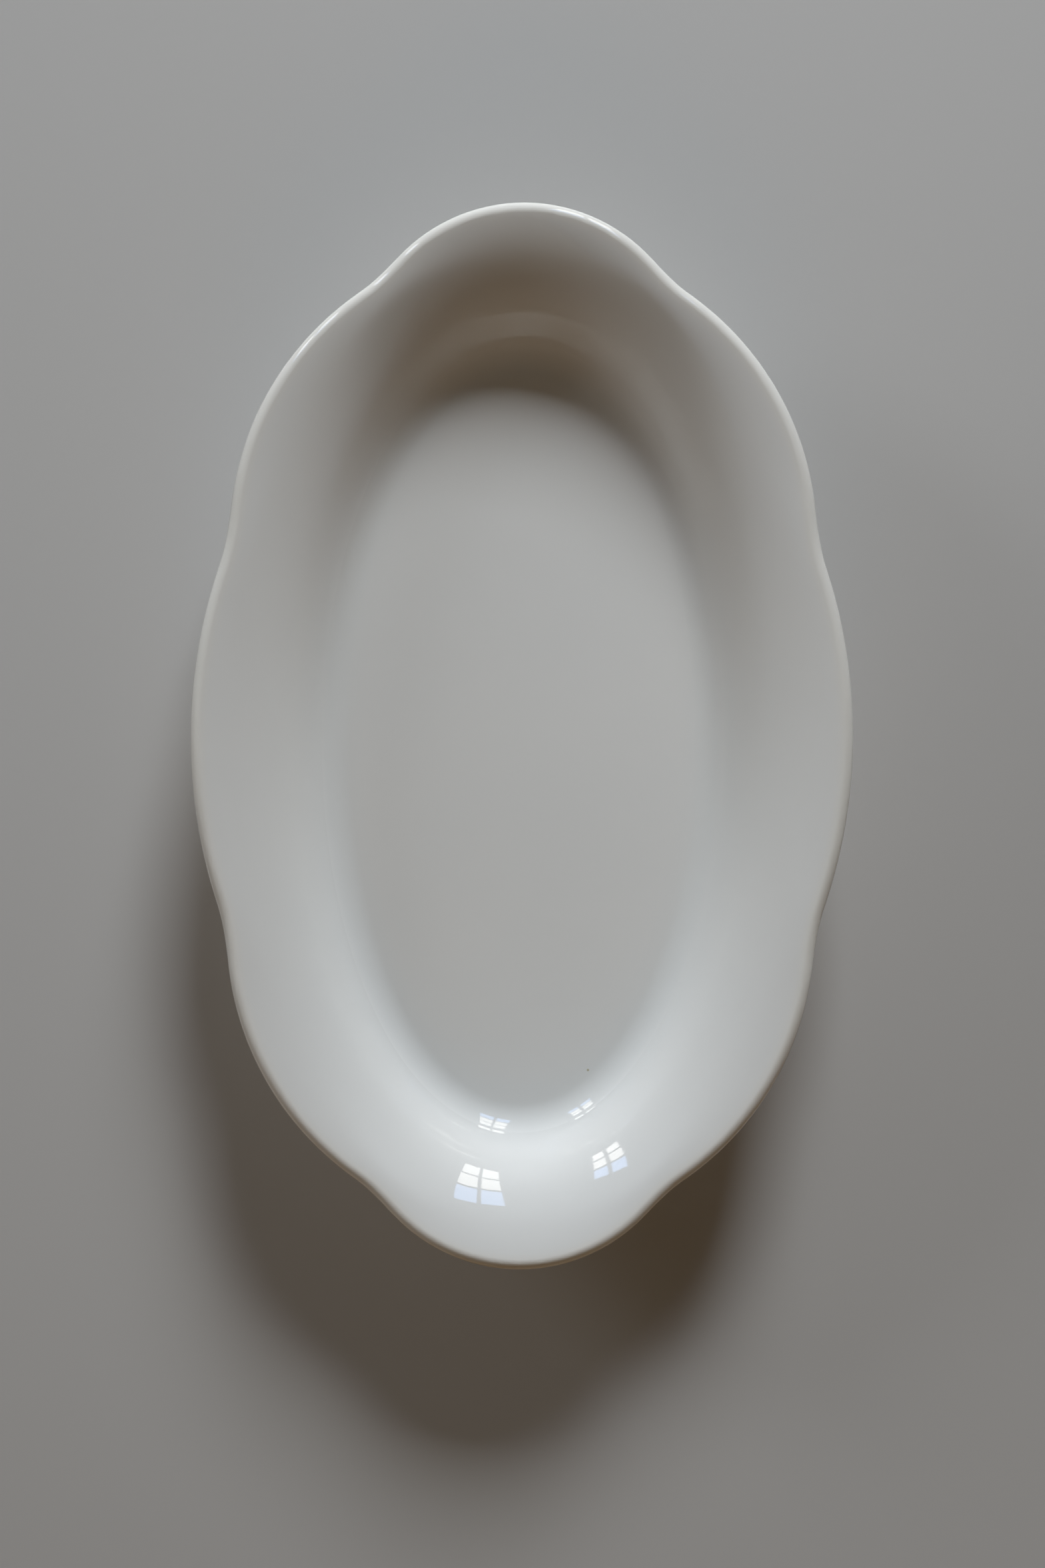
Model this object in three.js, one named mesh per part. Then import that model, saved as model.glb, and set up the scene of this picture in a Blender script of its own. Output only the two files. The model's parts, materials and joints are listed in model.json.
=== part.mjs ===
// An oval serving dish of white glazed earthenware with a scalloped rim, standing on a foot ring.
// Millimetres, +Z up, +Y along the dish. The origin is the middle of the plane that the foot stands on.

import * as THREE from "three";
import { mergeGeometries, mergeVertices } from "three/addons/utils/BufferGeometryUtils.js";

// Overall sizes of the glazed dish
const RIM_LENGTH = 280; // over the crests of the two end lobes
const RIM_WIDTH = 174; // over the crests of the two side lobes
const HEIGHT = 34; // standing plane to the top of the rim
const WALL_RUN = 40; // floor edge to the outer edge of the rim, seen from above

// Clay and glaze
const WALL_THICKNESS = 4.2; // clay only
const FLOOR_THICKNESS = 5; // clay only
const GLAZE = 0.4; // thickness of the glaze coat

// Inside section: a well round the floor, a soft ridge above it, then the wall that flares to the rim.
// Slopes are in degrees over the level.
const WELL_RADIUS = 10.5;
const WELL_SLOPE = 47; // where the well ends at the ridge
const RIDGE_RADIUS = 2;
const WALL_SLOPE = 41; // where the wall leaves the ridge
const WALL_PULL = 7.5; // how far the wall holds its slope at the ridge
const RIM_SLOPE = 15; // where the flare meets the rolled rim
const FLARE_PULL = 23; // how far the flare holds its slope at the rim

// Scalloped rim: a lobe at each end and side and one at each corner, with a notch between each two
const END_LOBE_WIDTH = 76; // notch to notch
const END_LOBE_RISE = 20; // crest over its notches
const SIDE_LOBE_WIDTH = 103; // notch to notch
const SIDE_LOBE_RISE = 9.7; // crest over its notches
const CORNER_LOBE_RISE = 10.4; // crest over the straight line between its notches
const NOTCH_BLEND = 3; // how soon two lobes run into each other at the rim
const NOTCH_SOFTENING = 14; // how much softer a notch is where the lobes die out
const NOTCH_FALL = 0.2; // drop of the rim for each millimetre that a notch cuts in
const LOBE_REACH = 22; // how far in from the rim the lobes still show

// Foot ring
const FOOT_HEIGHT = 4;
const FOOT_WIDTH = 6; // where it joins the underside
const FOOT_TAPER = 0.8; // how far each flank draws in towards the standing edge
const FOOT_INSET = 2; // floor edge to the ring's outer flank
const FOOT_SHELF = 1.5; // level underside left outside the ring
const FOOT_CHAMFER = 0.7; // softened corners of the standing edge
const BARE_BAND = 1.6; // height of the band above the standing plane that is wiped bare

// Number of steps in each curve
const SIDE_STEPS = 5; // from the side crest to its notch
const CORNER_STEPS = 8; // from notch to notch round a corner lobe
const END_STEPS = 5; // from the notch to the end crest
const WALL_STEPS = 6;
const RIM_STEPS = 5;
const WELL_STEPS = 3;
const HEEL_STEPS = 3;

// Sizes that follow
const floorHalfLength = RIM_LENGTH / 2 - WALL_RUN;
const floorHalfWidth = RIM_WIDTH / 2 - WALL_RUN;
const floorLevel = FOOT_HEIGHT + FLOOR_THICKNESS;
const rollRadius = WALL_THICKNESS / 2;
const glazedRollRadius = rollRadius + GLAZE;
const middleRun = -floorHalfWidth; // the run of a section's point on the axis of the dish

// Scalloped outline, in the quarter where X and Y are positive

const endNotch = new THREE.Vector2(END_LOBE_WIDTH / 2, RIM_LENGTH / 2 - END_LOBE_RISE);
const sideNotch = new THREE.Vector2(RIM_WIDTH / 2 - SIDE_LOBE_RISE, SIDE_LOBE_WIDTH / 2);

// The radius of an arc from the half width and the rise of its chord.
function arcRadius(halfWidth, rise) {
  return (halfWidth ** 2 + rise ** 2) / (2 * rise);
}

// The circle of the lobe that stands on the line between two notches.
function lobeOver(fromNotch, toNotch, rise) {
  const chord = toNotch.clone().sub(fromNotch);
  const radius = arcRadius(chord.length() / 2, rise);
  const outward = new THREE.Vector2(chord.y, -chord.x).normalize();
  const centre = fromNotch.clone().add(toNotch).multiplyScalar(0.5);
  return { centre: centre.addScaledVector(outward, rise - radius), radius };
}

const mirrored = (notch, x, y) => new THREE.Vector2(notch.x * x, notch.y * y);
const endLobe = lobeOver(endNotch, mirrored(endNotch, -1, 1), END_LOBE_RISE);
const sideLobe = lobeOver(mirrored(sideNotch, 1, -1), sideNotch, SIDE_LOBE_RISE);
const cornerLobe = lobeOver(sideNotch, endNotch, CORNER_LOBE_RISE);

// A point of the floor's oval edge and the level line that leaves it square to the edge.
function floorEdge(turn) {
  const cos = Math.cos(turn);
  const sin = Math.sin(turn);
  const point = new THREE.Vector2(floorHalfWidth * cos, floorHalfLength * sin);
  const outward = new THREE.Vector2(floorHalfLength * cos, floorHalfWidth * sin).normalize();
  return { point, outward };
}

// How far a line runs before it leaves the circle of a lobe.
function runThrough(lobe, start, direction) {
  const towards = lobe.centre.clone().sub(start);
  const along = towards.dot(direction);
  const beside = towards.lengthSq() - along ** 2;
  return along + Math.sqrt(Math.max(lobe.radius ** 2 - beside, 0));
}

// The larger of two runs, rounded over where they are closer than the blend.
function softer(first, second, blend) {
  const share = Math.max(blend - Math.abs(first - second), 0) / blend;
  return Math.max(first, second) + (share ** 2 * blend) / 4;
}

// The run from the floor edge to the scalloped outline. All four quarters are alike.
function scallopedRun(turn, blend) {
  const { point, outward } = floorEdge(turn);
  const start = new THREE.Vector2(Math.abs(point.x), Math.abs(point.y));
  const direction = new THREE.Vector2(Math.abs(outward.x), Math.abs(outward.y));
  const [end, side, corner] = [endLobe, sideLobe, cornerLobe].map((lobe) => runThrough(lobe, start, direction));
  return softer(softer(end, corner, blend), side, blend);
}

// The turn round the oval whose square line passes through a notch, found by halving.
function turnTowards(notch) {
  let low = 0;
  let high = Math.PI / 2;
  for (let halving = 0; halving < 50; halving++) {
    const middle = (low + high) / 2;
    const { point, outward } = floorEdge(middle);
    if (notch.clone().sub(point).cross(outward) > 0) high = middle;
    else low = middle;
  }
  return (low + high) / 2;
}

// Turns round the dish, with one at each crest and in each notch.
function turnsRound() {
  const stretches = [
    [0, turnTowards(sideNotch), SIDE_STEPS],
    [turnTowards(sideNotch), turnTowards(endNotch), CORNER_STEPS],
    [turnTowards(endNotch), Math.PI / 2, END_STEPS],
  ];
  const quarter = stretches.flatMap(([from, to, steps]) =>
    Array.from({ length: steps }, (_, step) => THREE.MathUtils.lerp(from, to, step / steps)),
  );
  const secondQuarter = quarter.slice(1).reverse().map((turn) => Math.PI - turn);
  const half = [...quarter, Math.PI / 2, ...secondQuarter];
  return [...half, ...half.map((turn) => turn + Math.PI)];
}

const turns = turnsRound();

// Section of the dish. A station is a point of it: its run out from the floor edge, its level over the
// standing plane, and its share of the lobes, from 0 on the plain oval to 1 at the rim.

const station = (run, level, lobing = 0) => ({ run, level, lobing });
const degrees = THREE.MathUtils.degToRad;

// A point on a circle, at an angle in degrees over the level.
function onCircle(centre, radius, angle) {
  return new THREE.Vector2(Math.cos(degrees(angle)), Math.sin(degrees(angle))).multiplyScalar(radius).add(centre);
}

// The line that the inside of the clay wall follows, from the ridge up to the rolled rim.
const rollCentre = new THREE.Vector2(WALL_RUN - glazedRollRadius, HEIGHT - glazedRollRadius);
const wellCentre = new THREE.Vector2(0, floorLevel + WELL_RADIUS);
const wellTop = onCircle(wellCentre, WELL_RADIUS, WELL_SLOPE - 90);
const ridgeCentre = onCircle(wellTop, RIDGE_RADIUS, WELL_SLOPE - 90);
const wallStart = onCircle(ridgeCentre, RIDGE_RADIUS, WALL_SLOPE + 90);
const wallEnd = onCircle(rollCentre, rollRadius, RIM_SLOPE + 90);
const wallLine = new THREE.CubicBezierCurve(
  wallStart,
  onCircle(wallStart, WALL_PULL, WALL_SLOPE),
  onCircle(wallEnd, -FLARE_PULL, RIM_SLOPE),
  wallEnd,
);

// The wall's stations, at a distance outside that line. Both faces of the wall take the lobes alike.
function wallStations(outside) {
  return Array.from({ length: WALL_STEPS + 1 }, (_, step) => {
    const share = step / WALL_STEPS;
    const point = wallLine.getPoint(share);
    const along = wallLine.getTangent(share);
    const lobing = THREE.MathUtils.smoothstep(point.x, WALL_RUN - LOBE_REACH, wallEnd.x);
    return station(point.x + outside * along.y, point.y - outside * along.x, lobing);
  });
}

// The rounded edge between the outer and the inner face of the wall.
function rimStations() {
  return Array.from({ length: RIM_STEPS - 1 }, (_, step) => {
    const angle = RIM_SLOPE - 90 + (180 * (step + 1)) / RIM_STEPS;
    const point = onCircle(rollCentre, rollRadius, angle);
    return station(point.x, point.y, 1);
  });
}

// The well, from the ridge down to the floor edge.
function wellStations() {
  return Array.from({ length: WELL_STEPS + 1 }, (_, step) => {
    const point = onCircle(wellCentre, WELL_RADIUS, WELL_SLOPE * (1 - step / WELL_STEPS) - 90);
    return station(point.x, point.y);
  });
}

const outerWall = wallStations(WALL_THICKNESS);
const innerWall = wallStations(0).reverse();

// The heel rounds the underside into the outer wall.
function heelStations() {
  const wallFoot = outerWall[0];
  const corner = wallFoot.run - (wallFoot.level - FOOT_HEIGHT) / Math.tan(degrees(WALL_SLOPE));
  const heelLine = new THREE.QuadraticBezierCurve(
    new THREE.Vector2(FOOT_SHELF - FOOT_INSET, FOOT_HEIGHT),
    new THREE.Vector2(corner, FOOT_HEIGHT),
    new THREE.Vector2(wallFoot.run, wallFoot.level),
  );
  return heelLine.getPoints(HEEL_STEPS).slice(0, -1).map((point) => station(point.x, point.y));
}

// One flank of the foot ring at a level: side is 1 on the outer flank and -1 on the inner one.
function onFlank(side, level) {
  const halfWidth = FOOT_WIDTH / 2 - (FOOT_TAPER * (FOOT_HEIGHT - level)) / FOOT_HEIGHT;
  return station(-FOOT_INSET - FOOT_WIDTH / 2 + side * halfWidth, level);
}

// The standing edge's corner on one flank, where the chamfer meets the standing plane.
function onStandingPlane(side) {
  return station(onFlank(side, 0).run - side * FOOT_CHAMFER, 0);
}

// The whole clay surface in order: from the middle of the underside out over the foot ring, up the outside,
// over the rim and down the inside to the middle of the floor.
const underside = [station(middleRun, FOOT_HEIGHT)];
const innerFlank = [onFlank(-1, FOOT_HEIGHT), onFlank(-1, BARE_BAND)];
const standingEdge = [onFlank(-1, FOOT_CHAMFER), onStandingPlane(-1), onStandingPlane(1), onFlank(1, FOOT_CHAMFER)];
const outerFlank = [onFlank(1, BARE_BAND), onFlank(1, FOOT_HEIGHT)];
const vessel = [
  ...heelStations(),
  ...outerWall,
  ...rimStations(),
  ...innerWall,
  ...wellStations(),
  station(middleRun, floorLevel),
];

// Solids

// Where a station lies at a turn round the dish.
function placed({ run, level, lobing }, turn) {
  if (run === middleRun) return new THREE.Vector3(0, 0, level);
  if (run < 0) {
    const halfWidth = floorHalfWidth + run;
    const halfLength = floorHalfLength + run;
    return new THREE.Vector3(halfWidth * Math.cos(turn), halfLength * Math.sin(turn), level);
  }
  const { point, outward } = floorEdge(turn);
  const blend = NOTCH_BLEND + NOTCH_SOFTENING * (1 - lobing);
  const cut = lobing * (scallopedRun(turn, blend) - WALL_RUN);
  point.addScaledVector(outward, run + cut);
  return new THREE.Vector3(point.x, point.y, level + NOTCH_FALL * cut);
}

// The surface of a section carried round the dish: turned on a lathe, then each point set on the oval.
function turned(section) {
  const profile = section.map(({ run, level }) => new THREE.Vector2(run - middleRun, level));
  const surface = new THREE.LatheGeometry(profile, turns.length);
  surface.deleteAttribute("normal");
  surface.deleteAttribute("uv");
  const position = surface.getAttribute("position");
  for (let column = 0; column <= turns.length; column++) {
    section.forEach((at, row) => {
      const { x, y, z } = placed(at, turns[column % turns.length]);
      position.setXYZ(column * section.length + row, x, y, z);
    });
  }
  return surface;
}

// A surface turned to face the other way.
function facingIn(surface) {
  surface.index.array.reverse();
  return surface;
}

// One closed body from the surfaces round it.
function closedBody(...surfaces) {
  return mergeVertices(mergeGeometries(surfaces));
}

// A section moved out by the glaze, square to its line.
function glazed(section) {
  const points = section.map(({ run, level }) => new THREE.Vector2(run, level));
  const normals = points.slice(1).map((point, row) => {
    const along = point.clone().sub(points[row]).normalize();
    return new THREE.Vector2(along.y, -along.x);
  });
  return section.map(({ lobing }, row) => {
    const before = normals[Math.max(row - 1, 0)];
    const after = normals[Math.min(row, normals.length - 1)];
    const mitre = before.clone().add(after).divideScalar(1 + before.dot(after));
    const point = points[row].addScaledVector(mitre, GLAZE);
    return station(point.x, point.y, lobing);
  });
}

// A coat of glaze on a section, closed along its free edge, which is the section's first or last station.
function coat(section, edgeRow) {
  const outside = glazed(section);
  const edge = [section.at(edgeRow), outside.at(edgeRow)];
  if (edgeRow < 0) edge.reverse();
  return closedBody(turned(outside), facingIn(turned(section)), turned(edge));
}

const footSection = [...innerFlank, ...standingEdge, ...outerFlank, innerFlank[0]];

const clay = { color: 0xe6ddcb, roughness: 0.9, metalness: 0 };
const bareEdge = { color: 0xdccfb8, roughness: 0.95, metalness: 0 };
const whiteGlaze = { color: 0xeeece6, roughness: 0.08, metalness: 0 };

const pieces = [
  ["clay_body", closedBody(turned([...underside, innerFlank[0], outerFlank.at(-1), ...vessel])), clay],
  ["foot_ring", closedBody(turned(footSection)), bareEdge],
  ["glaze_coat", coat([...outerFlank, ...vessel], 0), whiteGlaze],
  ["underside_glaze", coat([...underside, ...innerFlank], -1), whiteGlaze],
];

const dish = new THREE.Group();
for (const [name, geometry, finish] of pieces) {
  const piece = new THREE.Mesh(geometry, new THREE.MeshStandardMaterial(finish));
  piece.name = name;
  dish.add(piece);
}

export default dish;
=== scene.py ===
"""Dresses an oval serving dish of white glazed earthenware with a scalloped, rolled rim.

Metres, +Z up, +Y along the dish. The origin is the middle of the plane that the foot stands on.
"""

from __future__ import annotations

import json
import logging
import math
from dataclasses import dataclass, replace
from enum import Enum
from typing import ClassVar, Mapping, Optional, Sequence, Union

import bpy
import numpy as np
from mathutils import Euler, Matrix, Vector


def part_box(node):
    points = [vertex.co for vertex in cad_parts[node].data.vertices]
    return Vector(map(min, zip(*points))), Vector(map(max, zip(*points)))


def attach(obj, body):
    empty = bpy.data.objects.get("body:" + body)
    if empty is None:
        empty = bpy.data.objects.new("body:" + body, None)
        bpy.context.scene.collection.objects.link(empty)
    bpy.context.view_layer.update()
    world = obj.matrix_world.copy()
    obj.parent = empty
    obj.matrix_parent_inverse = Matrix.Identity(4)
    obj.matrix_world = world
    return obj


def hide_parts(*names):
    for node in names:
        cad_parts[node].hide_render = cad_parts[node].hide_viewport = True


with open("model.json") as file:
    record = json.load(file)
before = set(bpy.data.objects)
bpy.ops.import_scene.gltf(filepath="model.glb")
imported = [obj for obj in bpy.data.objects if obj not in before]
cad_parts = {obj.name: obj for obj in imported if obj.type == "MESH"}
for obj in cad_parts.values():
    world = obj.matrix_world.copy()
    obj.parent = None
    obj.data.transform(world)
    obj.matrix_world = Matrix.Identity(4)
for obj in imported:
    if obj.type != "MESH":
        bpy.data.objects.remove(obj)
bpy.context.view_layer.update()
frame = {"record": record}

LOG = logging.getLogger("serving_dish")
MM = 0.001
ROOT_BODY = "root"
HIDDEN_DETAIL = 0.4

Colour = tuple[float, float, float]
SocketValue = Union[float, Sequence[float], bpy.types.NodeSocket]


class Slot(Enum):
    """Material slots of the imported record."""

    WHITE_GLAZE = "white_glaze"
    FIRED_CLAY = "fired_clay"
    BARE_FOOT = "bare_foot"


class Mask(Enum):
    """Values painted on the rings of a mesh for the materials to read."""

    POOLED = "pooled"
    THINNED = "thinned"
    SOILED = "soiled"


class Flank(Enum):
    """The two flanks of the foot ring."""

    INNER = -1
    OUTER = 1


# Sizes and lines


@dataclass(frozen=True)
class DishSizes:
    """Sizes of the dish in metres, and slopes in degrees over the level.

    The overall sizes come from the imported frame, and the rest repeat the sizes of its section.
    """

    rim_length: float
    rim_width: float
    height: float
    wall_run: float = 40 * MM
    wall_thickness: float = 4.2 * MM
    floor_thickness: float = 5 * MM
    glaze: float = 0.4 * MM
    well_radius: float = 10.5 * MM
    well_slope: float = 47
    ridge_radius: float = 2 * MM
    wall_slope: float = 41
    wall_pull: float = 7.5 * MM
    rim_slope: float = 15
    flare_pull: float = 23 * MM
    end_lobe_width: float = 76 * MM
    end_lobe_rise: float = 20 * MM
    side_lobe_width: float = 103 * MM
    side_lobe_rise: float = 9.7 * MM
    corner_lobe_rise: float = 10.4 * MM
    notch_blend: float = 3 * MM
    notch_softening: float = 14 * MM
    notch_fall: float = 0.2
    lobe_reach: float = 22 * MM
    foot_height: float = 4 * MM
    foot_width: float = 6 * MM
    foot_taper: float = 0.8 * MM
    foot_inset: float = 2 * MM
    foot_shelf: float = 1.5 * MM
    foot_rounding: float = 0.7 * MM
    foot_corner: float = 1.2 * MM
    bare_band: float = 1.6 * MM
    glaze_bead: float = 0.3 * MM

    @classmethod
    def from_frame(cls) -> DishSizes:
        """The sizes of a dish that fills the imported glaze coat's box."""
        low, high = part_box("glaze_coat")
        return cls(rim_length=high.y - low.y, rim_width=high.x - low.x, height=high.z)

    @property
    def floor_half_length(self) -> float:
        """Half the length of the floor's oval edge."""
        return self.rim_length / 2 - self.wall_run

    @property
    def floor_half_width(self) -> float:
        """Half the width of the floor's oval edge."""
        return self.rim_width / 2 - self.wall_run

    @property
    def floor_level(self) -> float:
        """Height of the clay floor over the standing plane."""
        return self.foot_height + self.floor_thickness


def on_circle(centre: Sequence[float], radius: float, angles: Union[float, np.ndarray]) -> np.ndarray:
    """Points on a circle.

    Args:
        centre: the circle's run and level.
        radius: its radius.
        angles: one or more angles, in degrees over the level.

    Returns:
        One point, or a row for each angle.
    """
    turned = np.radians(angles)
    return np.asarray(centre) + radius * np.stack([np.cos(turned), np.sin(turned)], axis=-1)


def bezier(controls: Sequence[Sequence[float]], steps: int) -> tuple[np.ndarray, np.ndarray]:
    """A Bezier curve, by repeated division.

    Args:
        controls: its control points, first to last.
        steps: how many equal steps of its parameter it is cut into.

    Returns:
        The points along it and the unit direction at each.
    """
    share = np.linspace(0, 1, steps + 1)[:, None, None]
    row = np.broadcast_to(np.array(controls, float), (steps + 1, len(controls), 2))
    while row.shape[1] > 2:
        row = row[:, :-1] * (1 - share) + row[:, 1:] * share
    along = row[:, 1] - row[:, 0]
    points = row[:, 0] + along * share[:, 0]
    return points, along / np.linalg.norm(along, axis=1, keepdims=True)


@dataclass(frozen=True)
class Line:
    """A line of the dish's section, ordered from the underside over the rim to the floor.

    Attributes:
        run: distance out from the floor's oval edge.
        level: height over the standing plane.
        lobing: share of the rim's lobes, from 0 on the plain oval to 1 at the rim.
        shrink: scale towards the axis, which is 0 on the axis itself.
    """

    run: np.ndarray
    level: np.ndarray
    lobing: np.ndarray
    shrink: np.ndarray

    @classmethod
    def through(
        cls,
        points: np.ndarray,
        lobing: Union[float, np.ndarray] = 0.0,
        shrink: Union[float, np.ndarray] = 1.0,
    ) -> Line:
        """A line through rows of run and level."""
        count = len(points)
        return cls(
            points[:, 0], points[:, 1], np.broadcast_to(lobing, count), np.broadcast_to(shrink, count)
        )

    @classmethod
    def stacked(cls, lines: Sequence[Line]) -> Line:
        """One line from several, with every point of each."""
        return cls(
            *(
                np.concatenate([getattr(line, name) for line in lines])
                for name in ("run", "level", "lobing", "shrink")
            )
        )

    @classmethod
    def chained(cls, lines: Sequence[Line]) -> Line:
        """One line from several that each start where the last one ends."""
        return cls.stacked([lines[0], *(line.part(slice(1, None)) for line in lines[1:])])

    def part(self, rows: slice) -> Line:
        """Some of the line's points."""
        return Line(self.run[rows], self.level[rows], self.lobing[rows], self.shrink[rows])

    def path(self, half_width: float) -> np.ndarray:
        """The line on the short axis of the dish, as rows of distance from the axis and level."""
        return np.stack([(half_width + self.run) * self.shrink, self.level], axis=1)

    def coated(self, thickness: float, half_width: float) -> Line:
        """The line moved out square to itself.

        Args:
            thickness: how far it moves.
            half_width: half the width of the floor's oval edge.

        Returns:
            The outer line, with a point for each point of this one.
        """
        along = np.diff(self.path(half_width), axis=0)
        along /= np.linalg.norm(along, axis=1, keepdims=True)
        normal = np.stack([along[:, 1], -along[:, 0]], axis=1)
        before = np.vstack([normal[:1], normal])
        after = np.vstack([normal, normal[-1:]])
        mitre = (before + after) / (1 + (before * after).sum(axis=1, keepdims=True))
        return replace(
            self, run=self.run + thickness * mitre[:, 0], level=self.level + thickness * mitre[:, 1]
        )

    def bend(self, reach: float, half_width: float) -> np.ndarray:
        """How sharply the line bends outwards at each point.

        Args:
            reach: the length over which the bend is evened out.
            half_width: half the width of the floor's oval edge.

        Returns:
            Radians for each metre, above 0 on edges and below 0 in hollows.
        """
        step = np.diff(self.path(half_width), axis=0)
        turn = np.diff(np.unwrap(np.arctan2(step[:, 1], step[:, 0])))
        along = np.concatenate([[0], np.cumsum(np.hypot(step[:, 0], step[:, 1]))])
        gap = (along[:, None] - along[None, 1:-1]) / reach
        weight = np.exp(-0.5 * gap**2) / (reach * math.sqrt(2 * math.pi))
        return weight @ turn


@dataclass(frozen=True)
class Lobe:
    """The circle of one lobe of the rim, seen from above."""

    centre: np.ndarray
    radius: float

    @classmethod
    def over(cls, first: Sequence[float], second: Sequence[float], rise: float) -> Lobe:
        """The lobe that stands on the line between two notches.

        Args:
            first: the notch that it starts from, going round by the left hand.
            second: the notch that it ends at.
            rise: its crest over that line.

        Returns:
            The lobe.
        """
        first, second = np.array(first), np.array(second)
        chord = second - first
        length = np.linalg.norm(chord)
        radius = ((length / 2) ** 2 + rise**2) / (2 * rise)
        outward = np.array([chord[1], -chord[0]]) / length
        return cls((first + second) / 2 + outward * (rise - radius), radius)

    def run_from(self, starts: np.ndarray, directions: np.ndarray) -> np.ndarray:
        """How far each line runs before it leaves the circle."""
        towards = self.centre - starts
        along = (towards * directions).sum(axis=1)
        beside = (towards**2).sum(axis=1) - along**2
        return along + np.sqrt(np.maximum(self.radius**2 - beside, 0))


def softer(first: np.ndarray, second: np.ndarray, blend: np.ndarray) -> np.ndarray:
    """The larger of two runs, rounded over where they are closer than the blend."""
    share = np.maximum(blend - np.abs(first - second), 0) / blend
    return np.maximum(first, second) + share**2 * blend / 4


@dataclass(frozen=True)
class ScallopedOutline:
    """The way that lines of the section are carried round the scalloped dish."""

    sizes: DishSizes
    columns: int = 320

    @property
    def turns(self) -> np.ndarray:
        """The turns round the dish at which points are set."""
        return np.linspace(0, 2 * math.pi, self.columns, endpoint=False)

    def lobes(self) -> tuple[Lobe, Lobe, Lobe]:
        """The end, corner and side lobes of the quarter where X and Y are positive."""
        sizes = self.sizes
        end_x, end_y = sizes.end_lobe_width / 2, sizes.rim_length / 2 - sizes.end_lobe_rise
        side_x, side_y = sizes.rim_width / 2 - sizes.side_lobe_rise, sizes.side_lobe_width / 2
        return (
            Lobe.over((end_x, end_y), (-end_x, end_y), sizes.end_lobe_rise),
            Lobe.over((side_x, side_y), (end_x, end_y), sizes.corner_lobe_rise),
            Lobe.over((side_x, -side_y), (side_x, side_y), sizes.side_lobe_rise),
        )

    def floor_edge(self) -> tuple[np.ndarray, np.ndarray]:
        """The floor's oval edge and the level direction square to it, at each turn."""
        cos, sin = np.cos(self.turns), np.sin(self.turns)
        half_width, half_length = self.sizes.floor_half_width, self.sizes.floor_half_length
        points = np.stack([half_width * cos, half_length * sin], axis=1)
        outward = np.stack([half_length * cos, half_width * sin], axis=1)
        return points, outward / np.linalg.norm(outward, axis=1, keepdims=True)

    def scalloped_run(self, blend: np.ndarray) -> np.ndarray:
        """The run from the floor edge to the scalloped outline, for each blend and turn."""
        points, outward = self.floor_edge()
        end, corner, side = (lobe.run_from(np.abs(points), np.abs(outward)) for lobe in self.lobes())
        return softer(softer(end, corner, blend), side, blend)

    def carried_round(self, line: Line) -> np.ndarray:
        """Carries a line of the section round the dish.

        Args:
            line: the line.

        Returns:
            Points of shape (the line's points, turns, 3).
        """
        sizes = self.sizes
        points, outward = self.floor_edge()
        run, level, lobing, shrink = (
            values[:, None] for values in (line.run, line.level, line.lobing, line.shrink)
        )
        blend = sizes.notch_blend + sizes.notch_softening * (1 - lobing)
        cut = lobing * (self.scalloped_run(blend) - sizes.wall_run)
        outside = points[None] + outward[None] * (run + cut)[..., None]
        half_axes = np.array([sizes.floor_half_width, sizes.floor_half_length])
        inside = points[None] * (1 + run[..., None] / half_axes)
        plan = np.where(run[..., None] < 0, inside, outside) * shrink[..., None]
        return np.concatenate([plan, (level + sizes.notch_fall * cut)[..., None]], axis=-1)


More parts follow.
